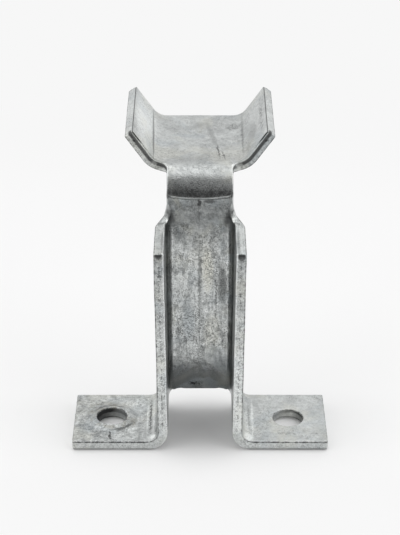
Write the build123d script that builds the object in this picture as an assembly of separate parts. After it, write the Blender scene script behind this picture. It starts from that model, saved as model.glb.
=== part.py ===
from build123d import *
from math import cos, radians, sin, tan
import os

# Pipe support bracket, folded in one piece from a punched steel plate.
# Millimetres. X runs across the two feet, Y towards the saddle, Z up.
# The origin is midway between the two bolt holes, on the base plane.

# Plate and feet
plate = 4.0
foot_span = 100.0
foot_depth = 35.0
foot_bend = 4.0
foot_corner = 0.8

# Bolt holes, with the edge that the punch rolled over
bolt_spacing = 70.0
bolt_hole = 11.0
hole_roll = 0.6

# Channel: two side walls that lean out a little, and the web behind them
channel_width = 32.8
wall_lean = 0.6
wall_height = 86.0
web_bend = 3.0
web_clearance = 9.2
notch_corner = 3.0
bend_runout = 7.0
bend_end = 0.3

# Neck that rises from the web and folds back into the saddle
neck_width = 25.6
neck_height = 18.8
neck_bend = 6.0
neck_runout = 5.0
neck_root = 2.5
saddle_root = 3.0

# Saddle: a trough for the pipe, with a flat floor and two raised ears
saddle_length = 47.0
floor_width = 26.8
ear_bend = 6.5
ear_angle = 55.0
ear_length = 12.2
ear_corner = 0.8

# Sizes that follow from the ones above
half_depth = foot_depth / 2
saddle_height = wall_height + neck_height
web_front = half_depth - plate
outer_bend = web_bend + plate
web_low = web_clearance - notch_corner
wall_skin = plate / cos(radians(wall_lean))
bend_line = web_front + neck_bend + plate
saddle_back = bend_line + saddle_length
half_neck = neck_width / 2
clear = foot_span + saddle_back


def wall_outside(z):
    """Half the channel's outside width at height z."""
    return channel_width / 2 + z * tan(radians(wall_lean))


def wall_middle(z):
    return wall_outside(z) - wall_skin / 2


def plate_section(inner_face, side):
    """The section of a folded plate, from the line of the face on the inside of its bends."""
    return make_face(inner_face.offset_2d(plate, side=side, closed=True))


def make_leg():
    """One foot, its bend and one side wall, as a folded strip of plate."""
    outside = FilletPolyline(
        (foot_span / 2, plate),
        (wall_outside(plate), plate),
        (wall_outside(wall_height + plate), wall_height + plate),
        radius=foot_bend,
    )
    strip = Plane.XZ * plate_section(outside, Side.LEFT)
    leg = extrude(strip, half_depth, both=True)
    return split(leg, bisect_by=Plane.XY.offset(wall_height), keep=Keep.BOTTOM)


def make_web():
    """The flat web, down to where the notch's rounded corners meet the legs."""
    low, high = wall_middle(web_low), wall_middle(wall_height)
    outline = Polyline((-low, web_low), (low, web_low), (high, wall_height), (-high, wall_height), close=True)
    face = Plane.XZ * make_face(outline)
    return Pos(0, half_depth, 0) * extrude(face, plate)


def corner_wedge(corner_x, corner_y, radius, spare):
    """What lies between a square corner and the arc that rounds it, and a spare width around it."""
    arc = RadiusArc((corner_x - radius, corner_y), (corner_x, corner_y - radius), radius)
    far_x, far_y = corner_x + spare, corner_y + spare
    sides = Polyline(
        (corner_x, corner_y - radius),
        (far_x, corner_y - radius),
        (far_x, far_y),
        (corner_x - radius, far_y),
        (corner_x - radius, corner_y),
    )
    return make_face([arc, sides])


def outside_rounding():
    """What the bend takes off the outside corner of web and wall.

    The bend runs out to a square edge at the legs and at the sides of the neck."""
    at_neck = max(bend_end, wall_outside(wall_height) - half_neck)
    stations = [
        (web_clearance, web_clearance, bend_end),
        (web_clearance + bend_runout, web_clearance + bend_runout, outer_bend),
        (wall_height, wall_height, outer_bend),
        (wall_height + neck_runout, wall_height, at_neck),
    ]
    sections = []
    for height, wall_z, radius in stations:
        wedge = corner_wedge(wall_outside(wall_z), half_depth, radius, plate)
        sections.append(Pos(0, 0, height) * wedge)
    return loft(sections, ruled=True)


def inside_fill():
    """The metal that rounds the inside corner of web and wall, and runs out on the neck."""
    at_neck = max(bend_end, wall_outside(wall_height) - wall_skin - half_neck)
    stations = [
        (web_low, web_low, web_bend),
        (wall_height, wall_height, web_bend),
        (wall_height + neck_runout, wall_height, at_neck),
    ]
    sections = []
    for height, wall_z, radius in stations:
        wedge = corner_wedge(wall_outside(wall_z) - wall_skin, web_front, radius, plate / 2)
        sections.append(Pos(0, 0, height) * wedge)
    return loft(sections, ruled=True)


def make_notch():
    """The opening under the web, between the legs, rounded at its two upper corners."""
    low = wall_outside(0) - wall_skin
    high = wall_outside(web_clearance) - wall_skin
    outline = Polyline((-low, 0), (low, 0), (high, web_clearance), (-high, web_clearance), close=True)
    face = make_face(outline)
    face = fillet(face.vertices().group_by(Axis.Y)[-1], notch_corner)
    return extrude(Plane.XZ * face, clear, both=True)


def make_neck():
    """The neck and the fold that lays it back into the saddle's floor."""
    rise = Line((half_depth, wall_height), (half_depth, saddle_height - plate - neck_bend))
    fold = JernArc(rise @ 1, rise % 1, neck_bend, -90)
    strip = Plane.YZ * plate_section(Wire([rise, fold]), Side.LEFT)
    return extrude(strip, half_neck + max(neck_root, saddle_root), both=True)


def make_trough():
    """The saddle: floor and ears, folded up along the pipe."""
    tilt = radians(ear_angle)
    tangent = ear_bend * tan(tilt / 2)
    corner = floor_width / 2 + tangent
    tip_x = corner + (tangent + ear_length) * cos(tilt)
    tip_z = saddle_height + (tangent + ear_length) * sin(tilt)
    top = FilletPolyline(
        (-tip_x, tip_z),
        (-corner, saddle_height),
        (corner, saddle_height),
        (tip_x, tip_z),
        radius=ear_bend,
    )
    strip = Plane.XZ * plate_section(top, Side.RIGHT)
    trough = Pos(0, saddle_back, 0) * extrude(strip, saddle_length)
    across_ear_tips = trough.edges().group_by(Axis.Z)[-2]
    return fillet(across_ear_tips, ear_corner)


def beside_neck():
    """The space beside the neck, with the rounded corners that stay at its two ends."""
    plan = Pos(half_neck + clear / 2, bend_line - clear / 2) * Rectangle(clear, clear)
    saddle_side = plan.vertices().group_by(Axis.X)[0].sort_by(Axis.Y)[-1]
    plan = extrude(fillet(saddle_side, saddle_root), saddle_height + clear)
    front = Pos(half_neck + clear / 2, wall_height + clear / 2) * Rectangle(clear, clear)
    wall_side = front.vertices().group_by(Axis.X)[0].sort_by(Axis.Y)[0]
    front = extrude(Plane.XZ * fillet(wall_side, neck_root), clear, both=True)
    return plan & front


def both_sides(solid):
    return [solid, mirror(solid, about=Plane.YZ)]


def hole_rims(body):
    """The upper edges of the bolt holes."""
    circles = body.edges().filter_by(lambda edge: edge.is_closed)
    return circles.group_by(Axis.Z)[-1]


def make_bracket():
    body = make_web() + make_neck() + both_sides(make_leg()) + both_sides(inside_fill())
    body = body - both_sides(beside_neck()) - both_sides(outside_rounding()) - make_notch()
    body = body + make_trough()

    for side in (-1, 1):
        body = body - Pos(side * bolt_spacing / 2, 0, 0) * Cylinder(bolt_hole / 2, 3 * plate)
    upright = body.edges().filter_by(Axis.Z)
    body = fillet(upright.group_by(Axis.X)[0] + upright.group_by(Axis.X)[-1], foot_corner)
    return fillet(hole_rims(body), hole_roll)


bracket = make_bracket()
bracket.label = "bracket"

os.makedirs("parts", exist_ok=True)
export_step(bracket, "parts/bracket.step")
print("volume", round(bracket.volume), "box", bracket.bounding_box())
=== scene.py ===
import bmesh
import bpy
from math import atan2, cos, pi, radians, sin, sqrt, tan
from mathutils import Matrix, Vector, noise
from mathutils.bvhtree import BVHTree


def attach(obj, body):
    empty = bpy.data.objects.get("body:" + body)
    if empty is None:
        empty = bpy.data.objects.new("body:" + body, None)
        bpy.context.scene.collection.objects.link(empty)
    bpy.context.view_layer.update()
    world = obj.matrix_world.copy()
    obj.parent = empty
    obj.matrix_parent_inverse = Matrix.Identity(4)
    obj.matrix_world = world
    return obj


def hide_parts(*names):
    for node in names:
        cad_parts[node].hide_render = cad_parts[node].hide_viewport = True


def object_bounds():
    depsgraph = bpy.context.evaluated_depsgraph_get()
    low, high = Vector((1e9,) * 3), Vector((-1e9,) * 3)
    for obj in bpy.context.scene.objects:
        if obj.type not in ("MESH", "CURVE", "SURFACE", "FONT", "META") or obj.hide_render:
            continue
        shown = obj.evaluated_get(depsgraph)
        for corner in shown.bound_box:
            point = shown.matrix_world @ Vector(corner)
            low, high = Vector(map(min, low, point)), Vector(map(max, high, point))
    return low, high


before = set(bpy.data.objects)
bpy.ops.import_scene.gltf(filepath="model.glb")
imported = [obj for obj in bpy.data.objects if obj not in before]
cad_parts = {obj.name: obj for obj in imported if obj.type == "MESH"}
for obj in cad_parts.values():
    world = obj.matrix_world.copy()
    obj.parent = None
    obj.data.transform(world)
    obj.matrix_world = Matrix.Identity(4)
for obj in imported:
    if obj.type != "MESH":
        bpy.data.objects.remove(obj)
cad_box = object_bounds()

# The camera
# It stands in front of the bracket, a little above it, and looks down into the saddle
# and onto the feet, with a long lens.
camera_place = Vector((0, -0.5761, 0.3744))
camera_dip = 27.736
camera_lens = 115.2
camera_sensor = 36

bpy.ops.object.select_all(action="DESELECT")
bpy.ops.object.camera_add(location=camera_place, rotation=(radians(90 - camera_dip), 0, 0))
camera = bpy.context.object
camera.data.lens = camera_lens
camera.data.sensor_width = camera_sensor
camera.data.clip_start = 0.01
bpy.context.scene.camera = camera
bpy.context.scene.view_settings.view_transform = "Standard"


# The floor and the light
# A white table top that runs on without an edge into a white backdrop, under one wide soft
# light straight overhead. The room in front is darker, so the folds show as dark bands. Near the
# bracket the table top glows a little, most in front of the feet and behind the web: painted
# light that lifts its shadow there.
floor_size = 8.0
floor_drop = 0.0002
floor_white = 0.88
backdrop_white = 0.93
room_front = 0.10
room_back = 0.95
room_low_front = 0.45
shadow_reach = 0.09
white_from = 0.35
# How much the table top glows near the bracket, as painted light that lifts its shadow: everywhere, in
# front of the feet, and behind the web.
floor_glow = 0.09
floor_glow_in_front = 0.74
floor_glow_behind = 0.50

bpy.ops.mesh.primitive_plane_add(size=floor_size, location=(0, 0, -floor_drop))
floor = bpy.context.object
floor.name = "table_top"


class Socket:
    """A node's socket with plain arithmetic: an expression on sockets adds its Math nodes."""

    def __init__(self, tree, link):
        self.tree = tree
        self.link = link

    def maths(self, operation, first, second=None):
        inputs = {0: first} if second is None else {0: first, 1: second}
        return add_node(self.tree, "ShaderNodeMath", {"operation": operation}, inputs)

    def __add__(self, other):
        return self.maths("ADD", self, other)

    def __radd__(self, other):
        return self.maths("ADD", other, self)

    def __sub__(self, other):
        return self.maths("SUBTRACT", self, other)

    def __rsub__(self, other):
        return self.maths("SUBTRACT", other, self)

    def __mul__(self, other):
        return self.maths("MULTIPLY", self, other)

    def __rmul__(self, other):
        return self.maths("MULTIPLY", other, self)

    def __abs__(self):
        return self.maths("ABSOLUTE", self)

    def least(self, other):
        return self.maths("MINIMUM", self, other)

    def most(self, other):
        return self.maths("MAXIMUM", self, other)

    def ramp(self, low, high):
        """0 at low, 1 at high, and smooth in between. Low may be the larger of the two."""
        low_out, high_out = (0.0, 1.0) if low < high else (1.0, 0.0)
        return add_node(self.tree, "ShaderNodeMapRange", {"interpolation_type": "SMOOTHSTEP"}, {
            "Value": self,
            "From Min": min(low, high),
            "From Max": max(low, high),
            "To Min": low_out,
            "To Max": high_out,
        })


def add_node(tree, kind, settings, inputs, output=0):
    """Adds one node, with its settings first and then the values or links of its sockets."""
    made = tree.nodes.new(kind)
    for name, value in (settings or {}).items():
        setattr(made, name, value)
    for name, value in inputs.items():
        socket = made.inputs[name]
        if isinstance(value, Socket):
            tree.links.new(value.link, socket)
        else:
            socket.default_value = value
    return Socket(tree, made.outputs[output])


def material(name):
    """A new material and its own Principled surface."""
    made = bpy.data.materials.new(name)
    made.use_nodes = True
    return made, made.node_tree, made.node_tree.nodes["Principled BSDF"]


floor_paint, tree, surface = material("white table top")
surface.inputs["Base Color"].default_value = (floor_white, floor_white, floor_white, 1)
surface.inputs["Roughness"].default_value = 0.9
surface.inputs["Specular IOR Level"].default_value = 0.1
place = add_node(tree, "ShaderNodeTexCoord", None, {}, output=3)
distance = add_node(tree, "ShaderNodeVectorMath", {"operation": "LENGTH"}, {"Vector": place}, output=1)
camera_ray = add_node(tree, "ShaderNodeLightPath", None, {})
glossy_ray = add_node(tree, "ShaderNodeLightPath", None, {}, output=3)
to_front = add_node(tree, "ShaderNodeSeparateXYZ", None, {"Vector": place}, output=1)
# Painted light: the table top's shadow near the bracket is lifted by a glow, most in front of the feet and
# behind the web.
painted_floor_light = floor_glow + floor_glow_in_front * to_front.ramp(-0.010, -0.042)
painted_floor_light = painted_floor_light + floor_glow_behind * to_front.ramp(0.008, 0.03)
far = distance.ramp(shadow_reach, white_from).most(painted_floor_light) * camera_ray.most(glossy_ray)
plain_white = add_node(tree, "ShaderNodeEmission", None, {
    "Color": (backdrop_white, backdrop_white, backdrop_white, 1)})
blend = add_node(tree, "ShaderNodeMixShader", None, {
    0: far,
    1: Socket(tree, surface.outputs[0]),
    2: plain_white,
})
tree.links.new(blend.link, tree.nodes["Material Output"].inputs["Surface"])
floor.data.materials.append(floor_paint)

world = bpy.data.worlds.new("studio")
bpy.context.scene.world = world
world.use_nodes = True
tree = world.node_tree
direction = add_node(tree, "ShaderNodeTexCoord", None, {})
to_back = add_node(tree, "ShaderNodeSeparateXYZ", None, {"Vector": direction}, output=1)
to_sky = add_node(tree, "ShaderNodeSeparateXYZ", None, {"Vector": direction}, output=2)
camera_ray = add_node(tree, "ShaderNodeLightPath", None, {})
level = room_front + (room_back - room_front) * to_back.ramp(-0.1, 0.8)
level = level + room_low_front * to_sky.ramp(0.24, 0.02) * to_back.ramp(0.1, -0.4)
level = level * (1 - camera_ray) + backdrop_white * camera_ray
tree.links.new(level.link, tree.nodes["Background"].inputs["Color"])


def soft_light(name, place, aim, width, depth, power):
    """A rectangular soft light that points at aim and isn't seen itself."""
    bpy.ops.object.light_add(type="AREA", location=place)
    lamp = bpy.context.object
    lamp.name = name
    lamp.data.shape = "RECTANGLE"
    lamp.data.size = width
    lamp.data.size_y = depth
    lamp.data.energy = power
    lamp.visible_camera = False
    lamp.rotation_euler = (Vector(aim) - Vector(place)).to_track_quat("-Z", "Y").to_euler()


soft_light("overhead light", (0, 0.12, 1.1), (0, 0.1, 0), 1.6, 1.1, 7.6)
soft_light("left light", (-0.93, -0.26, 0.5), (0, -0.04, 0.05), 1.4, 1.1, 7.0)
soft_light("right light", (0.93, -0.26, 0.5), (0, -0.04, 0.05), 1.4, 1.1, 7.0)


# The bracket
# One piece of 4 mm steel plate, punched flat with its two bolt holes and its notches, then
# folded: walls forward from the web, feet out from the walls, neck back into the saddle,
# ears up. It was hot-dip galvanised. Sizes are in millimetres until the shape is finished.
mm = 0.001
plate = 4.0
half_plate = plate / 2
half_depth = 17.5
foot_half_span = 50.0
wall_height = 86.0
wall_lean = 0.6
notch_height = 9.2
close_by = 0.02
web_columns = 7
web_rows = 58

web_plane = half_depth - half_plate
web_half = 9.4
web_bend = 3.0 + half_plate
wall_plane = web_half + web_bend
wall_back = web_plane - web_bend
wall_depth = wall_back + half_depth

bpy.ops.object.select_all(action="DESELECT")
bpy.ops.mesh.primitive_grid_add(
    x_subdivisions=web_columns,
    y_subdivisions=web_rows,
    size=1,
    location=(web_half / 2, web_plane, (notch_height + wall_height) / 2),
    rotation=(radians(90), 0, 0),
)
bracket = bpy.context.object
bracket.name = "bracket_plate"
bracket.data.name = "bracket_plate"
bracket.scale = (web_half, wall_height - notch_height, 1)
bpy.ops.object.transform_apply(location=True, rotation=True, scale=True)
bpy.ops.object.mode_set(mode="EDIT")


def same(a, b):
    return abs(a - b) < close_by


def pick(kind, wanted):
    """Selects the mesh's parts of one kind whose every corner is wanted, and nothing else."""
    modes = {"verts": "VERT", "edges": "EDGE", "faces": "FACE"}
    bpy.ops.mesh.select_mode(type=modes[kind])
    bpy.ops.mesh.select_all(action="DESELECT")
    sheet = bmesh.from_edit_mesh(bracket.data)
    for part in getattr(sheet, kind):
        corners = [part] if kind == "verts" else part.verts
        if all(wanted(corner.co) for corner in corners):
            part.select_set(True)
    bmesh.update_edit_mesh(bracket.data)


def pull(steps, x=0.0, y=0.0, z=0.0):
    """Draws the selected edges out along a straight line, in equal steps."""
    bpy.ops.mesh.extrude_repeat(steps=steps, offset=(x / steps, y / steps, z / steps))


def fold(degrees, steps, center, axis):
    """Draws the selected edges round a bend."""
    bpy.ops.mesh.spin(steps=steps, angle=radians(degrees), center=center, axis=axis)


def fade(value, start, end):
    """0 up to start, 1 from end on, and smooth in between. Start may be the larger."""
    share = min(1.0, max(0.0, (value - start) / (end - start)))
    return share * share * (3 - 2 * share)


# Walls: the web's sides are folded forward through a right angle.
bend_steps = 8
wall_columns = 21
pick("edges", lambda at: same(at.x, web_half))
fold(90, bend_steps, (web_half, wall_back, 0), (0, 0, 1))
pull(wall_columns, y=-wall_depth)

# The legs run on below the web, and their lower ends are folded out into the feet. The back
# of each leg lies flat, in line with the wall.
foot_bend = 4.0 + half_plate
bend_level = half_plate + foot_bend
foot_fold = wall_plane + foot_bend
foot_bend_steps = 9
foot_columns = 22
pick("edges", lambda at: same(at.z, notch_height) and at.x > web_half - close_by)
pull(2, z=bend_level - notch_height)
for corner in bmesh.from_edit_mesh(bracket.data).verts:
    at = corner.co
    if at.z < notch_height - close_by and at.y > wall_back:
        turn = atan2(at.x - web_half, at.y - wall_back)
        at.x = wall_plane
        at.y = wall_back + (half_depth - wall_back) * (1 - turn / radians(90))
pick("edges", lambda at: same(at.z, bend_level))
fold(90, foot_bend_steps, (foot_fold, 0, bend_level), (0, 1, 0))
pull(foot_columns, x=foot_half_span - foot_fold)

# Beside the notch the fold tightens, and then opens out into the flat back of the leg.
tight_from = 16.2
tight_by = 1.0
flat_from = 4.0
for corner in bmesh.from_edit_mesh(bracket.data).verts:
    at = corner.co
    bent = at.x < wall_plane + close_by and at.x > web_half - close_by and at.y > wall_back - close_by
    if bent and notch_height - close_by < at.z < tight_from:
        radius = web_bend - tight_by * fade(at.z, tight_from, notch_height)
        turn = atan2(at.x - web_half, at.y - wall_back)
        at.x = wall_plane - radius * (1 - sin(turn))
        at.y = web_plane - radius * (1 - cos(turn))
    elif at.y > wall_back + close_by and flat_from < at.z < notch_height - close_by:
        radius = web_bend - tight_by
        turn = radians(90) * (half_depth - at.y) / (half_depth - wall_back)
        share = ((at.z - flat_from) / (notch_height - flat_from)) ** 1.6
        bend_x = wall_plane - radius * (1 - sin(turn))
        bend_y = web_plane - radius * (1 - cos(turn))
        at.x += (bend_x - wall_plane) * share
        at.y += (bend_y - at.y) * share

notch_corner = Vector((12.5, 15.5, 8.6))
smoothed_reach = 5.0
pick("verts", lambda at: (at - notch_corner).length < smoothed_reach)
bpy.ops.mesh.vertices_smooth(factor=0.5, repeat=6)

# The walls lean out by a fraction of a degree.
for corner in bmesh.from_edit_mesh(bracket.data).verts:
    at = corner.co
    if at.x < foot_fold:
        at.x += tan(radians(wall_lean)) * (at.z - half_plate) * min(1.0, at.x / web_half)

# Neck: the web's top is drawn up between two rounded roots, flattened, and folded back.
neck_half = 12.8
neck_root = 2.5
neck_bend = 6.0 + half_plate
neck_flat = 91.0
saddle_level = 104.8 - half_plate
neck_fold = saddle_level - neck_bend
fold_back = web_plane + neck_bend
root_angles = (52, 35, 17.5, 0)
root_columns = 5


def widest():
    """How far the selected edges reach from the middle."""
    return max(v.co.x for v in bmesh.from_edit_mesh(bracket.data).verts if v.select)


def stretch(wanted_half, flatten=1.0):
    """Spreads the selected edges to a new half width and flattens them towards the web."""
    ratio = wanted_half / widest()
    bpy.ops.transform.resize(value=(ratio, flatten, 1), center_override=(0, web_plane, 0))


root_turn = radians(90) * (1 - root_columns / bend_steps)
top_fold = web_half + wall_height * tan(radians(wall_lean))
root_edge = top_fold + web_bend * cos(root_turn)
pick("edges", lambda at: same(at.z, wall_height) and at.x < root_edge + 0.05 and at.y > wall_back)
level = wall_height
flat = 1.0
for angle in root_angles:
    new_level = wall_height + neck_root * (1 - sin(radians(angle)))
    pull(1, z=new_level - level)
    new_flat = 1 - (new_level - wall_height) / (neck_flat - wall_height)
    stretch(neck_half + neck_root * (1 - cos(radians(angle))), new_flat / flat)
    level, flat = new_level, new_flat
pull(2, z=neck_flat - level)
pick("verts", lambda at: at.z > neck_flat - close_by)
bpy.ops.transform.resize(value=(1, 0, 1), center_override=(0, web_plane, 0))
pick("edges", lambda at: same(at.z, neck_flat))
pull(4, z=neck_fold - neck_flat)
saddle_root = 3.0
root_start = fold_back - saddle_root
turned = 0.0
for angle in (7, 7, 7, 7, 7, 7, 7, 6, 5.9, 7.1, 5.9, 5.3, 4.5, 3.4):
    fold(angle, 1, (0, fold_back, neck_fold), (1, 0, 0))
    turned += angle
    reach = fold_back - neck_bend * cos(radians(turned)) - root_start
    if reach > 0:
        stretch(neck_half + saddle_root - sqrt(saddle_root ** 2 - reach ** 2))

# Saddle: a flat floor whose sides are folded up into the two ears.
saddle_back = 70.5
floor_half = 13.4
ear_bend = 6.5 + half_plate
ear_angle = 55
ear_length = 12.2
ear_steps = 8
ear_columns = 9
saddle_columns = 10
saddle_rows = 35
bpy.ops.object.mode_set(mode="OBJECT")
bpy.ops.object.select_all(action="DESELECT")
bpy.ops.mesh.primitive_grid_add(
    x_subdivisions=saddle_columns,
    y_subdivisions=saddle_rows,
    size=1,
    location=(floor_half / 2, (fold_back + saddle_back) / 2, saddle_level),
)
saddle = bpy.context.object
saddle.scale = (floor_half, saddle_back - fold_back, 1)
bpy.ops.object.transform_apply(location=True, rotation=True, scale=True)
bracket.select_set(True)
bpy.context.view_layer.objects.active = bracket
bpy.ops.object.join()
bpy.ops.object.mode_set(mode="EDIT")
pick("edges", lambda at: same(at.x, floor_half) and same(at.z, saddle_level))
fold(ear_angle, ear_steps, (floor_half, 0, saddle_level + ear_bend), (0, 1, 0))
tilt = radians(ear_angle)
pull(ear_columns, x=ear_length * cos(tilt), z=ear_length * sin(tilt))

# Neck and saddle meet at the end of the fold.
neck_columns = web_columns + root_columns
seam_half = floor_half + ear_bend * sin(tilt / ear_steps * (neck_columns - saddle_columns))
turned_y = fold_back - neck_bend * cos(radians(turned))
pick("edges", lambda at: at.z > neck_fold and (
    same(at.y, turned_y) or (same(at.y, fold_back) and at.x < seam_half + close_by)))
bpy.ops.mesh.bridge_edge_loops()

# Bolt holes: the plate is opened round each hole and closed again up to the punched circle.
bolt_half_spacing = 35.0
bolt_radius = 5.5
window_half = 7.9
hole_rings = (6.5, bolt_radius)


def by_hole(at):
    """Whether a place is inside the square window round the bolt hole."""
    return max(abs(at.x - bolt_half_spacing), abs(at.y)) < window_half and at.z < half_plate + 0.1


pick("faces", by_hole)
bpy.ops.mesh.delete(type="FACE")
pick("edges", by_hole)
for radius in hole_rings:
    bpy.ops.mesh.extrude_region_move()
    sheet = bmesh.from_edit_mesh(bracket.data)
    ring = [corner for corner in sheet.verts if corner.select]
    ring.sort(key=lambda corner: atan2(corner.co.y, corner.co.x - bolt_half_spacing))
    for order, corner in enumerate(ring):
        turn = 2 * pi * (order + 0.5) / len(ring) - pi
        corner.co.x = bolt_half_spacing + radius * cos(turn)
        corner.co.y = radius * sin(turn)
    bmesh.update_edit_mesh(bracket.data)

bpy.ops.mesh.select_all(action="SELECT")
bpy.ops.mesh.remove_doubles(threshold=0.001)
bpy.ops.object.mode_set(mode="OBJECT")


def finish_with(kind, name, **settings):
    """Adds one modifier with its settings and applies it."""
    added = bracket.modifiers.new(name, kind)
    for setting, value in settings.items():
        setattr(added, setting, value)
    bpy.ops.object.modifier_apply(modifier=name)


# The half is mirrored, and the sheet gets its thickness and its broken edges.
finish_with("MIRROR", "other half", merge_threshold=0.01)
bpy.ops.object.mode_set(mode="EDIT")
bpy.ops.mesh.select_all(action="SELECT")
bpy.ops.mesh.normals_make_consistent(inside=False)
bpy.ops.object.mode_set(mode="OBJECT")
middle_sheet = BVHTree.FromPolygons(
    [corner.co.copy() for corner in bracket.data.vertices],
    [tuple(face.vertices) for face in bracket.data.polygons],
)
finish_with(
    "SOLIDIFY",
    "thickness",
    thickness=plate,
    offset=0,
    use_even_offset=True,
    use_quality_normals=True,
)
bpy.ops.object.mode_set(mode="EDIT")
bpy.ops.mesh.select_mode(type="EDGE")
bpy.ops.mesh.select_all(action="DESELECT")
for across_edge in bmesh.from_edit_mesh(bracket.data).edges:
    across_edge.select_set(across_edge.calc_length() > 0.9 * plate)
bmesh.update_edit_mesh(bracket.data)
bpy.ops.mesh.subdivide(number_cuts=3)
bpy.ops.object.mode_set(mode="OBJECT")
finish_with(
    "BEVEL",
    "broken edges",
    width=0.6,
    segments=2,
    limit_method="ANGLE",
    angle_limit=radians(50),
    use_clamp_overlap=False,
)
finish_with("SUBSURF", "fine", levels=1, render_levels=1)

# What folding, punching and handling left in the plate: soft waves, a lip that bulges over the
# web where the neck's fold ends, a dished strip below it, a raised ring round the left hole,
# and cut faces that are rolled on one side and torn on the other.
wave_height = 0.10
wave_length = 16.0
grain_height = 0.035
grain_length = 1.7
bulge = 0.60
bulge_from = 98.0
crease_level = 94.2
crease_width = 0.9
crease_rise = 0.7
crease_upturn = 1.0
dish_depth = 0.50
dish_from = 66.0
dish_fade = 2.5
ring_height = 0.95
ring_inside = 4.9
ring_outside = 9.8
hole_roll = 0.35
rolled_edge = 0.5
roll_depth = 1.1
scoop_middle = 15.4
scoop_level = 85.3
scoop_radius = 1.8
scoop_slope = 0.8
scoop_depth = 0.7
tear_depth = 0.14
tear_length = 0.8
wall_top_drop = 1.6
corner_drop = 1.0
notch_radius = 2.3
notch_top = 8.8
folded_edge = 9.27
notch_inside = 11.9
notch_outside = 13.2


def crease(x):
    """The height of the crease under the neck's fold, which turns up at its ends."""
    return crease_level + crease_rise * (x / 10) ** 2 + crease_upturn * fade(abs(x), 10.4, 12.2)


def notch_edge(x):
    """The height of the notch's edge, with its small rounded corners."""
    start = notch_inside - notch_radius
    if abs(x) < start:
        return notch_top
    into = min(abs(x) - start, notch_radius)
    return notch_top - notch_radius + sqrt(notch_radius ** 2 - into ** 2)


def folded_notch_edge(x):
    """The height at which folding left the notch's edge: a slight hump, then a fall."""
    hump = 1 - min(1.0, abs(abs(x) - 8.9) / 1.6)
    return folded_edge + 0.25 * fade(hump, 0, 1) - 4.3 * fade(abs(x), 10.2, 12.4)


mesh = bracket.data
through = mesh.attributes.new("through", "FLOAT", "POINT")
cut = mesh.attributes.new("cut", "FLOAT", "POINT")
moved = []
for corner in mesh.vertices:
    at, out = corner.co, corner.normal
    beside = abs(at.x)
    middle, upward, _, _ = middle_sheet.find_nearest(at)
    level = max(-1.0, min(1.0, (at - middle).dot(upward) / half_plate))
    edge = 1 - abs(out.dot(upward))
    through.data[corner.index].value = level
    cut.data[corner.index].value = edge
    shift = upward * wave_height * noise.noise(middle / wave_length)
    shift += out * grain_height * (noise.fractal(at / grain_length, 1.0, 2.0, 2) - 0.2)

    # The punch rolled one side of the cut faces, but not at the neck's roots, and tore the other.
    by_root = fade(at.y, 2, 8) * fade(at.z, 80, 84) * fade(at.z, 98, 95)
    shift -= out * (rolled_edge * (1 - by_root) * edge * fade(level, 0.2, 1.0))
    if edge > 0.5:
        shift += out * (tear_depth * (noise.noise(at / tear_length) - 0.8) * fade(level, 0.5, 0.1))
    if at.z > 100 and at.y < 25 and beside > neck_half + 1 and out.y < -0.3:
        shift.y += roll_depth * max(0.0, level) ** 1.6
    if at.y < -17 and at.z > 82:
        from_scoop = sqrt((beside - scoop_middle) ** 2 + (at.z - scoop_level) ** 2)
        shift.y += scoop_depth * fade(from_scoop, scoop_radius, scoop_radius - scoop_slope)

    # The neck's fold ends in a lip, and the web's top is dished under it.
    if at.y < fold_back and at.z > dish_from:
        bow = crease(at.x)
        inside = max(fade(beside, neck_half + dish_fade, neck_half), fade(at.z, 89, 92))
        above = fade(at.z, bow - crease_width, bow)
        lip = bulge * above * fade(at.z, bulge_from + bow - crease_level, bow)
        dish = dish_depth * fade(at.z, dish_from, crease_level) * (1 - above)
        shift.y += inside * (dish - lip)

    # The walls' tops fall a little towards the back.
    if at.z > 70 and beside > 11:
        fall = fade(at.z, 70, 86) * fade(at.z, 96, 89) * fade(beside, 11, 14)
        shift.z -= wall_top_drop * fall * fade(at.y, -half_depth, half_depth)
        shift.z -= corner_drop * fall * fade(at.y, -4, 16) * fade(beside, 12.5, 15.5)

    # The notch's corners are nearly square.
    if at.z < 16 and at.y > wall_back and beside < notch_outside:
        lift = (notch_edge(at.x) - folded_notch_edge(at.x)) * fade(beside, notch_outside, notch_inside)
        shift.z += lift * fade(at.z, 16, 10) * fade(at.z, 3.5, 6.0)

    # The punch rolled the holes' rims, and raised a ring round the left one.
    if at.z < plate + 1 and beside > 24:
        hole_x = bolt_half_spacing if at.x > 0 else -bolt_half_spacing
        from_hole = Vector((at.x - hole_x, at.y, 0))
        far = from_hole.length
        shift += from_hole * (hole_roll * fade(far, 6.7, 5.8) * fade(at.z, 2.2, 4.0) / far)
        if at.x < 0:
            uneven = 0.95 + 0.2 * noise.noise(at / 5)
            ring = fade(far, ring_inside, ring_inside + 0.5) * fade(far, ring_outside, ring_outside - 0.8)
            ring *= 0.55 + 0.45 * fade(far, 8.4, 7.0)
            shift.z += ring_height * uneven * ring * fade(at.z, 2.2, 3.6)
    moved.append(at + shift)
for corner, at in zip(mesh.vertices, moved):
    corner.co = at
low, high = [Vector(corner) / mm for corner in cad_box]
for corner in mesh.vertices:
    for axis in range(3):
        corner.co[axis] = min(high[axis], max(low[axis], corner.co[axis]))

bracket.data.transform(Matrix.Scale(mm, 4))
bpy.ops.object.shade_smooth_by_angle(angle=radians(40))

# The zinc coat: matt grey with a fine dark grain, paler and darker clouds, soft warm and bluish
# patches, and the marks of the tools and of handling, with painted highlights, painted
# reflections and painted shade laid into its colour. Patterns are in millimetres.
zinc_light = (0.84, 0.865, 0.855, 1)
zinc_dark = (0.20, 0.21, 0.21, 1)
zinc_warm = (0.66, 0.64, 0.53, 1)
zinc_pale = (0.86, 0.84, 0.72, 1)
zinc_blue = (0.42, 0.47, 0.50, 1)
grime_and_shade = (0.035, 0.036, 0.036, 1)
stain = (0.20, 0.175, 0.12, 1)

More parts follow.
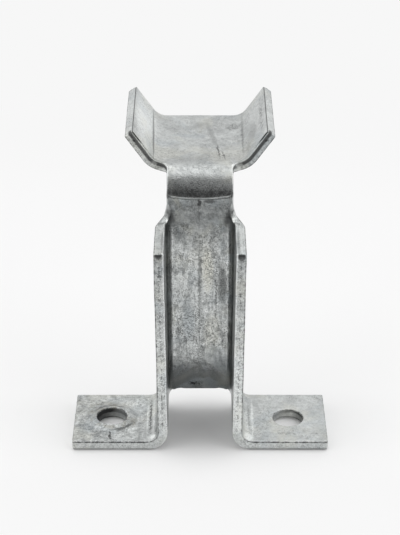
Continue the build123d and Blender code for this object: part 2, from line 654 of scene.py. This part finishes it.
zinc, tree, surface = material("galvanised steel")
place = add_node(tree, "ShaderNodeTexCoord", None, {}, output=3)
spot = add_node(tree, "ShaderNodeVectorMath", {"operation": "SCALE"}, {"Vector": place, "Scale": 1 / mm})
side = add_node(tree, "ShaderNodeAttribute", {"attribute_name": "through"}, {}, output=2)
cut_face = add_node(tree, "ShaderNodeAttribute", {"attribute_name": "cut"}, {}, output=2)
across, back, height = [
    add_node(tree, "ShaderNodeSeparateXYZ", None, {"Vector": spot}, output=axis) for axis in range(3)
]
beside = abs(across)


def grain(size, detail=2.0, roughness=0.5, at=spot, distortion=0.0):
    """Noise whose features measure about size millimetres, spread out to fill 0 to 1."""
    made = add_node(tree, "ShaderNodeTexNoise", None, {
        "Vector": at,
        "Scale": 1 / size,
        "Detail": detail,
        "Roughness": roughness,
        "Distortion": distortion,
    })
    return made.ramp(0.25, 0.75)


def mix(share, first, second):
    """One colour laid over another."""
    return add_node(tree, "ShaderNodeMix", {"data_type": "RGBA"}, {0: share, 6: first, 7: second}, output=2)


def between(value, start, full, fading, end):
    """1 from full to fading, and 0 before start and after end."""
    return value.ramp(start, full) * value.ramp(end, fading)


# Most marks are laid out on a place that wanders a little, so their outlines are ragged.
wander_reach = 2.2
wander = add_node(tree, "ShaderNodeTexNoise", None, {"Vector": spot, "Scale": 0.9, "Detail": 3.0}, output=1)
wander = add_node(tree, "ShaderNodeVectorMath", {"operation": "SUBTRACT"}, {0: wander, 1: (0.5, 0.5, 0.5)})
wander = add_node(tree, "ShaderNodeVectorMath", {"operation": "SCALE"}, {
    "Vector": wander,
    "Scale": wander_reach,
})
wandering = add_node(tree, "ShaderNodeVectorMath", {"operation": "ADD"}, {0: spot, 1: wander})


def mark(middle, reach, turn=None, at=wandering, soft=0.6):
    """A patch on the surface: 1 in its middle, fading to 0 at its reach along each axis.

    A turn is an axis and an angle in degrees."""
    local = add_node(tree, "ShaderNodeVectorMath", {"operation": "SUBTRACT"}, {0: at, 1: middle})
    if turn:
        axis, angle = turn
        local = add_node(tree, "ShaderNodeVectorRotate", {"rotation_type": axis + "_AXIS"}, {
            "Vector": local,
            "Angle": -radians(angle),
        })
    local = add_node(tree, "ShaderNodeVectorMath", {"operation": "DIVIDE"}, {0: local, 1: reach})
    far = add_node(tree, "ShaderNodeVectorMath", {"operation": "LENGTH"}, {"Vector": local}, output=1)
    return far.ramp(1.0, 1.0 - soft)


drawn_out = add_node(tree, "ShaderNodeMapping", None, {"Vector": spot, "Scale": (1.0, 1.0, 0.22)})
clouds = grain(13, 3, 0.6, distortion=0.6)
patches = grain(4.2, 4, 0.65, distortion=0.4)
fine = grain(1.3, 4, 0.75)
finest = grain(0.48, 2, 0.6)
runs = grain(1.9, 3, 0.6, at=drawn_out).ramp(0.2, 0.8)
patchy = patches - 0.5
grainy = fine - 0.5

# The parts of the surface, told apart by place and by the two attributes: side is 1 on the
# face inside the folds and -1 on the other, and cut_face is 1 on the plate's cut faces.
on_cut = cut_face.ramp(0.35, 0.75)
on_face = 1 - on_cut
inner_side = side.ramp(0.5, 0.8)
above_neck = height.ramp(101.5, 102.5)
on_web = between(back, 11.5, 13.0, 14.5, 17.0) * between(height, 8.0, 10.0, 92.0, 96.0)
web_middle = on_web * between(height, 17.0, 30.0, 66.0, 84.0)
web_foot = on_web * height.ramp(27.0, 13.0)
web_head = on_web * height.ramp(66.0, 84.0)
on_fold = mark((0, 12.8, 95.2), (36, 9.0, 9.5), at=spot, soft=0.9) * height.ramp(93.2, 94.6)
on_ear_front = back.ramp(26.0, 23.0) * above_neck * on_cut
on_tip = height.ramp(111.5, 113.0)
end_cut = on_cut * back.ramp(-15.0, -16.8).most(back.ramp(68.5, 70.0)).most(on_ear_front)
foot_front = end_cut * height.ramp(9, 5)
left_foot = across.ramp(-18, -24) * height.ramp(6, 5) * on_face
on_foot_top = height.ramp(3.3, 3.7) * height.ramp(6, 5)
# Painted highlights along the edges on the rolled side, where the bevel catches the light, stronger on the
# walls' inner edges.
edge_highlight = between(cut_face, 0.03, 0.15, 0.6, 0.85) * side.ramp(0.3, 0.7)
wall_edge_highlight = edge_highlight * between(height, 9, 14, 88, 90) * back.ramp(12, 9)
# Painted shade on the walls' insides, which face each other, and on the bends beside the web.
inner_wall_shade = between(beside, 11.7, 12.2, 13.5, 13.9) * height.ramp(8, 14) * on_face
inner_wall_shade = inner_wall_shade * inner_side * back.ramp(11.5, 9.5)
bend_shade = beside.ramp(10.8, 11.3) * back.ramp(9.0, 10.5) * inner_side
inner_wall_shade = inner_wall_shade.most(bend_shade * between(height, 10, 14, 84, 90) * on_face)
# Painted highlights: a light line on each bend beside the web, and another where the bend meets the inner
# wall.
bend_highlight = abs(beside - 10.7).ramp(0.40, 0.05) * back.ramp(9.5, 10.5) * between(height, 14, 20, 78, 84)
seam_highlight = abs(beside - 12.15).ramp(0.25, 0.05) * back.ramp(8.5, 10.5) * on_face
seam_highlight = seam_highlight * between(height, 12, 20, 78, 84)
bowed = height - 0.007 * across * across
# A painted highlight along the crease under the neck's fold.
crease_highlight = abs(bowed - 94.1).ramp(0.75, 0.15) * back.ramp(14.6, 14.0) * beside.ramp(12.2, 10.5)
pepper = 0.35 + 0.30 * height.ramp(5, 9) + 0.30 * height.ramp(12, 32)

# The tone: clouds and grain; painted reflection and shade on the web, lighter in its middle and
# darker at its foot and head; painted highlights and shade beside the web, on the walls' insides,
# along the rolled edges, along the crease under the neck's fold and on the walls' tops; and the
# cut faces, which are paler and coarser.
tone = 0.47 + (1 - 0.7 * foot_front) * (0.26 * (clouds - 0.5) + 0.20 * patchy) + 0.22 * grainy
# Painted reflection and shade: the web's middle is lighter and more patchy, and its foot and its head are
# darker.
tone = tone + web_middle * (0.33 + 0.34 * patchy + 0.46 * (runs - 0.5))
tone = tone - 0.68 * web_foot - 0.30 * web_head
# Painted highlights on the bend lines beside the web.
tone = tone + inner_side * (0.22 * bend_highlight + 0.3 * seam_highlight)
# Painted shade on the walls' insides, and a painted highlight along the walls' inner edges.
tone = tone - (0.30 + 0.16 * across.ramp(-1, 1)) * inner_wall_shade + 0.4 * wall_edge_highlight
# The painted highlight along the crease.
tone = tone + 0.75 * crease_highlight * (0.45 + 0.55 * patches)
# Painted shade that tones down the highlight at the top of the neck's fold.
tone = tone - 0.10 * height.ramp(101, 103) * back.ramp(24, 21)
tone = tone + left_foot * (0.42 * patchy + 0.32 * grainy + 0.05 - 0.15 * across.ramp(-33, -42))
# Cut faces paler, painted highlights along their rolled edges, and the feet's fronts a little darker.
tone = tone + 0.14 * on_cut + 0.24 * edge_highlight * (1 - on_tip) - 0.08 * foot_front
tone = tone + end_cut * (0.10 + pepper * (0.31 * (finest - 0.5) + 0.22 * grainy))
tone = tone - 0.30 * end_cut * height.ramp(40, 80)
tone = tone + 0.16 * end_cut * across.ramp(8, 12) * between(height, 7, 12, 30, 48)
# Painted highlights on the walls' top faces: lighter, most on the right wall, with a light and a darker
# band along it.
wall_top = on_cut * between(height, 82.0, 83.0, 87.0, 88.0) * back.ramp(-17.2, -16.6)
lengthwise = abs(across - 15.6).ramp(0.5, 0.1) - abs(across - 14.6).ramp(0.5, 0.1)
tone = tone + wall_top * (0.06 + across.ramp(-1, 1) * (0.16 + 0.25 * lengthwise))
tone = tone - 0.16 * mark((0, 26, 104.8), (20, 6, 3), soft=0.8) * (0.5 + patches)

# Painted highlights: bright rims and glints where an edge or a bend catches the light, light lines
# along the feet's bends, and lighter insides of the ears; and one painted dark streak in the left
# foot's bend.
scoop_rim = on_cut * back.ramp(-16.3, -16.9) * height.ramp(85.2, 85.5)
ear_rim = cut_face.ramp(0.004, 0.04) * side.ramp(0.50, 0.70) * height.ramp(114.0, 112.5)
ear_rim = ear_rim * back.ramp(26.4, 25.4) * above_neck
web_rim = between(cut_face, 0.02, 0.2, 0.8, 0.95) * side.ramp(0.3, 0.6)
web_rim = web_rim * back.ramp(11, 13) * height.ramp(11.5, 10.5)
glint = mark((-18.6, -14.6, 4.4), (2.6, 2.8, 3), soft=1.0)
glint = glint.most(mark((18.6, -14.8, 4.4), (3.2, 3.6, 3), soft=1.0))
tone = tone + 0.5 * scoop_rim + 0.8 * ear_rim + 0.9 * web_rim + 0.70 * glint
# Painted glints at the back ends of the walls' tops and at the ears' roots, and a painted dark streak in
# the left foot's bend.
for strength, middle, reach, soft in (
    (0.8, (-12.9, 11.0, 85.0), (1.2, 4.0, 2.2), 1.0),
    (0.8, (12.9, 11.0, 85.0), (1.2, 4.0, 2.2), 1.0),
    (0.9, (-13.6, 21.2, 104.2), (1.8, 1.8, 1.6), 1.0),
    (0.9, (13.4, 21.2, 104.2), (1.8, 1.8, 1.6), 1.0),
    # Painted shade: a dark streak in the left foot's bend.
    (-0.5, (-17.2, -12.5, 5.6), (0.6, 4, 1.6), 0.9),
):
    tone = tone + strength * mark(middle, reach, soft=soft)
# Painted glints at the inner ends of the scoops' rims, painted light lines along the feet's bends, and a
# lighter bend on the right foot.
for strength, middle, reach, soft in (
    (1.0, (-13.9, -17.3, 85.6), (0.7, 1.5, 0.9), 0.6),
    (1.0, (13.9, -17.3, 85.6), (0.7, 1.5, 0.9), 0.6),
    (0.40, (-20.8, 0, 4.1), (0.6, 18, 2), 0.9),
    (0.40, (-18.3, 0, 4.6), (0.8, 17, 2), 0.9),
    (0.30, (20.8, 0, 4.1), (0.7, 18, 2), 0.6),
    (0.12, (17.5, -8, 6), (3, 12, 5), 0.6),
    # Painted highlight: the ears' insides lighter, the left one much more.
    (0.46, (-21, 48, 112), (7.5, 40, 10), 0.6),
    (0.05, (21, 48, 112), (7.5, 40, 10), 0.6),
    # The right foot is a little lighter all over.
    (0.06, (35, 0, 4), (30, 24, 6), 0.3),
):
    tone = tone + strength * mark(middle, reach, at=spot, soft=soft)
colour = mix(tone, zinc_dark, zinc_light)

warmth = grain(21, 3, 0.6, distortion=0.5).ramp(0.5, 0.9) * 0.22
colour = mix(warmth, colour, zinc_warm)
pale = mark((2.9, 13.5, 63), (3.2, 5, 13)).most(mark((4.8, 13.5, 34), (4.2, 5, 13)) * 0.8)
colour = mix(pale * (0.2 + 0.4 * patches), colour, zinc_pale)
blue = grain(16, 3, 0.6, distortion=0.8).ramp(0.55, 0.95) * 0.3
blue = blue.most(mark((-4.5, 13.5, 40), (3.6, 5, 11)) * 0.5)
colour = mix(blue, colour, zinc_blue)

# Dark grain: everywhere a little, thick on the neck's fold and on the cut faces; then painted
# shade, a dark band over the neck's fold and a darker strip at its foot.
thick = 0.20 + 0.9 * on_fold + 0.20 * web_middle + 0.12 * end_cut * pepper
thick = thick + 0.28 * grain(8, 2).ramp(0.45, 0.8)
specks = (finest * 0.7 + fine * 0.3 - 0.16 * on_fold).ramp(0.48, 0.26) * thick
colour = mix((specks * 0.75).least(0.85) * (1 - 0.9 * crease_highlight), colour, grime_and_shade)
# Painted shade: the neck's fold darkened as a dark band, less along the crease's painted highlight.
colour = mix(on_fold * (0.55 + 0.34 * patches) * (1 - 0.7 * crease_highlight), colour, grime_and_shade)
# Painted shade in the strip at the fold's foot, just above the crease.
fold_foot_shade = height.ramp(99.0, 95.8) * bowed.ramp(94.6, 95.2) * back.ramp(16.5, 15.5)
fold_foot_shade = fold_foot_shade * beside.ramp(13.3, 12.6)
colour = mix(fold_foot_shade * (0.28 + 0.60 * fine.ramp(0.62, 0.38)), colour, grime_and_shade)

# Streaks, scratches and smudges at their own places, with painted shade in the dimples by the
# neck and along the feet's bends. Each has its middle, its reach, its strength, how much stronger
# the grain makes it, and its settings: first on the web, from the neck down, then in the saddle,
# then on the feet.
dirt_and_shade = mark((0.0, 13.5, 62), (1.0, 5, 14)) * 0.5 * runs
for middle, reach, strength, grained, settings in (
    ((-0.4, 13.5, 92.2), (0.7, 3, 2.4), 0.8, 0, {"soft": 0.5}),
    ((3.8, 13.5, 92.6), (3.4, 3, 1.2), 0.6, 0, {}),
    # The next two rows: painted shade in the dimples at the neck's lower corners.
    ((-12.5, 14, 88.0), (1.1, 3, 1.8), 0.95, 0, {"soft": 0.9}),
    ((12.4, 14, 88.0), (1.1, 3, 1.8), 0.95, 0, {"soft": 0.9}),
    ((-0.4, 13.5, 87.5), (0.55, 3, 5.5), 0.45, 0, {}),
    # The next two rows: painted shade in the diagonal dimples below the neck's corners.
    ((-11.4, 14.0, 86.4), (2.4, 3, 5.5), 0.85, 0, {"turn": ("Y", -14), "soft": 0.9}),
    ((11.2, 14.0, 86.4), (2.4, 3, 5.5), 0.85, 0, {"turn": ("Y", 14), "soft": 0.9}),
    ((8.8, 13.5, 57), (2.6, 5, 11), 0.15, 0.5, {}),
    ((-0.3, 13.5, 50), (0.5, 3, 40), 0.30, 0, {}),
    ((6.3, 13.5, 50), (0.35, 3, 15), 0.45, 0, {}),
    ((20.4, 40.0, 110.6), (3.0, 11, 3.2), 0.05, 0.35, {}),
    ((-18.4, 48.0, 106.4), (0.5, 32, 3), 0.62, 0, {"turn": ("Z", 1.4), "at": spot, "soft": 0.5}),
    ((16.8, 48.0, 105.6), (0.7, 28, 3), 0.2, 0.7, {"turn": ("Z", -0.3), "soft": 0.9}),
    ((-0.5, 60, 104.8), (4.2, 5.5, 3), 0.05, 0.45, {"soft": 0.9}),
    ((4.4, 51, 104.8), (1.7, 18, 3), 0.10, 0.50, {"turn": ("Z", 9), "soft": 0.8}),
    ((7.2, 34.0, 104.8), (0.42, 9.0, 2), 0.75, 0, {"turn": ("Z", 5)}),
    ((9.2, 30.0, 104.8), (0.38, 6.0, 2), 0.65, 0, {"turn": ("Z", 8)}),
    ((-35.4, -13.0, 4), (0.45, 4.4, 2), 0.85, 0, {"turn": ("Z", 3), "soft": 0.5}),
    ((-31.0, -3.9, 4), (4.6, 0.7, 2), 0.8, 0, {"turn": ("Z", 30), "soft": 0.5}),
    # The next two rows: painted shade along the start of each foot's bend.
    ((-19.6, 0, 4.2), (0.5, 17, 2), 0.75, 0, {}),
    ((19.4, 0, 4.2), (0.40, 15, 2), 0.35, 0, {}),
    ((45.0, -11.5, 4), (2.2, 0.5, 2), 0.4, 0, {}),
):
    amount = strength + grained * fine if grained else strength
    dirt_and_shade = dirt_and_shade.most(mark(middle, reach, **settings) * amount)
dirt_and_shade = dirt_and_shade.most(mark((13.0, 58.0, 105.5), (4.5, 4.5, 3)) * (0.10 + 0.55 * finest.ramp(0.50, 0.30)))
dirt_and_shade = dirt_and_shade.most(mark((23.6, 46.0, 115.2), (1.6, 27, 1.9), soft=0.9) * fine.ramp(0.6, 0.4) * 0.6)
dirt_and_shade = dirt_and_shade.most(mark((-1.4, 13.5, 11.8), (4.2, 3, 1.1)) * fine.ramp(0.52, 0.36) * 0.9)
dirt_and_shade = dirt_and_shade.most(mark((34.0, -11.5, 4), (4.5, 1.3, 2)) * (0.08 + 0.3 * finest.ramp(0.55, 0.35)))

# Dark scoops, bands and lines on the cut faces and along their edges: painted shade in the
# scoops, on the ears' front faces and along the torn edges and the feet's top edges, and a
# painted contact shadow under the feet's fronts.
# Painted shade in the scoops under the walls' top edges.
scoop = mark((-scoop_middle, -half_depth, scoop_level), (scoop_radius, 2.5, 1.8), at=spot, soft=0.35)
right_scoop = (scoop_middle, -half_depth, scoop_level - 0.3)
scoop = scoop.most(mark(right_scoop, (scoop_radius, 2.5, 2.2), at=spot, soft=0.35))
scoop = scoop * height.ramp(85.7, 85.3) * (0.7 + 0.35 * height.ramp(83.4, 85.0))
dirt_and_shade = dirt_and_shade.most(scoop * (0.85 + 0.15 * fine))
# Painted shade: a dark band on the ears' front faces, broken where the ears meet the neck.
band_gap = mark((-17.6, 22.5, 104.0), (1.7, 3, 3)).most(mark((15.0, 22.5, 103.4), (2.2, 3, 3)))
ear_band_shade = on_cut * back.ramp(26.8, 25.4) * above_neck * between(side, -0.20, 0.10, 0.48, 0.68)
dirt_and_shade = dirt_and_shade.most(ear_band_shade * (0.80 + 0.20 * fine) * (1 - 0.60 * band_gap))
tip_spot = mark((-25.3, 23.5, 113.6), (1.3, 2.5, 0.9), at=spot)
tip_spot = tip_spot.most(mark((25.3, 23.5, 113.6), (1.3, 2.5, 0.9), at=spot))
dirt_and_shade = dirt_and_shade.most(tip_spot * between(side, -0.3, 0.0, 0.80, 0.95))
torn_line = between(side, -0.24, -0.02, 0.0, 0.22) * end_cut * height.ramp(8, 12) * fine.ramp(0.55, 0.35)
dirt_and_shade = dirt_and_shade.most(torn_line * 0.5)
# Torn metal along the edges on the torn side, darkened further as painted shade.
torn_edge_and_shade = between(cut_face, 0.04, 0.22, 0.45, 0.75) * side.ramp(0.3, -0.3)
dirt_and_shade = dirt_and_shade.most(torn_edge_and_shade * (0.30 + 0.5 * fine.ramp(0.65, 0.35)))
# Painted shade along the feet's top front edges.
foot_edge_shade = beside.ramp(19.5, 21.5) * between(height, 3.25, 3.45, 3.65, 3.85) * back.ramp(-16.6, -17.0)
dirt_and_shade = dirt_and_shade.most(foot_edge_shade * (0.45 + 0.45 * fine.ramp(0.7, 0.4)))
# A painted contact shadow along the foot of the feet's fronts.
dirt_and_shade = dirt_and_shade.most(height.ramp(1.0, 0.6) * back.ramp(-15.6, -16.2) * (0.25 + 0.35 * fine))
tip_line = between(cut_face, 0.04, 0.15, 0.5, 0.8) * side.ramp(0.4, 0.7) * on_tip
dirt_and_shade = dirt_and_shade.most(tip_line * (0.6 + 0.4 * fine))

# The holes are painted dark inside as shade, and painted shade lies along the back of their
# rims. The left one has cracks and lines round its raised ring, partly painted shade on the
# ring's slopes.
from_hole = add_node(tree, "ShaderNodeVectorMath", {"operation": "DISTANCE"}, {
    0: wandering,
    1: (-bolt_half_spacing, 0, plate + 0.3),
}, output=1)
# Painted shade on the ring's outer slope, strongest at its front, a darker arc above the hole, and a line
# at the hole's edge.
ring_shade_and_lines = abs(from_hole - 9.3).ramp(0.9, 0.3) * (0.14 + 0.7 * mark((-31.5, -6.5, 4.5), (7.5, 5.0, 3)))
upper_arc = abs(from_hole - 7.9).ramp(1.1, 0.2) * mark((-37, 6.5, 4.5), (9, 5.5, 3)) * (0.3 + 0.5 * fine)
ring_shade_and_lines = (ring_shade_and_lines * (0.5 + 0.5 * fine)).most(upper_arc)
ring_shade_and_lines = ring_shade_and_lines.most(abs(from_hole - 5.8).ramp(0.5, 0.1) * 0.5)
dirt_and_shade = dirt_and_shade.most(ring_shade_and_lines * on_foot_top)
from_middle = abs(beside - bolt_half_spacing)
# Painted shade inside the holes, heavier on their outer sides, low down and at the top.
in_hole = from_middle.ramp(6.6, 6.2) * abs(back).ramp(6.6, 6.2) * on_cut
hole_shade = 0.10 + 0.55 * across.ramp(-31, -40) + 0.45 * across.ramp(36.5, 39.5)
hole_shade = hole_shade + 0.22 * across.ramp(-28, -30)
hole_shade = hole_shade + 0.5 * height.ramp(1.3, 0.5) + 0.35 * height.ramp(2.7, 3.2)
dirt_and_shade = dirt_and_shade.most(in_hole * (hole_shade + 0.2 * grainy))
# Painted shade along the back of the holes' rolled rims.
hole_rim_shade = from_middle.ramp(7.2, 6.8) * back.ramp(1, 4) * height.ramp(2.8, 3.4) * on_face
dirt_and_shade = dirt_and_shade.most(hole_rim_shade * cut_face.ramp(0.10, 0.3) * 0.45)
cracks = abs(grain(7, 3, 0.6, distortion=1.2) - 0.5).ramp(0.05, 0.0) * across.ramp(-16, -24) * on_foot_top
dirt_and_shade = dirt_and_shade.most(cracks * 0.6 * patches)
stains = mark((-37.5, 7.5, 4.5), (9, 5, 3)).most(mark((-40.5, 4.5, 4), (6, 6, 2)))
stains = stains.most(mark((-28.5, -3.5, 4), (5.5, 4.5, 2)))
stains = stains.most(abs(from_hole - 7.8).ramp(1.6, 0.4) * on_foot_top * 0.8)
stains = stains * patches.ramp(0.35, 0.75) * 0.55
colour = mix(stains, colour, stain)
# Grime, marks and painted shade laid on the colour.
colour = mix(dirt_and_shade, colour, grime_and_shade)

# Grime and painted shade are less metallic and rougher than zinc, and the painted highlights on
# the ears' and web's rims and the glints are less metallic too, so they show brighter.
dark = dirt_and_shade.most(specks * 0.6).most(stains)
metallic = (0.92 - 0.5 * dark - 0.85 * ear_rim - 0.45 * web_rim - 0.8 * glint).most(0)
gloss = 0.21 + 0.12 * clouds + 0.12 * (1 - fine) + 0.2 * dark + 0.1 * end_cut
relief = 0.045 * fine + 0.025 * finest + 0.05 * patches - 0.05 * specks - 0.06 * dirt_and_shade
raised = add_node(tree, "ShaderNodeBump", None, {"Height": relief, "Distance": mm, "Strength": 0.9})
tree.links.new(colour.link, surface.inputs["Base Color"])
tree.links.new(metallic.link, surface.inputs["Metallic"])
tree.links.new(gloss.link, surface.inputs["Roughness"])
tree.links.new(raised.link, surface.inputs["Normal"])
bracket.data.materials.clear()
bracket.data.materials.append(zinc)

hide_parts("bracket")
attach(bracket, "root")
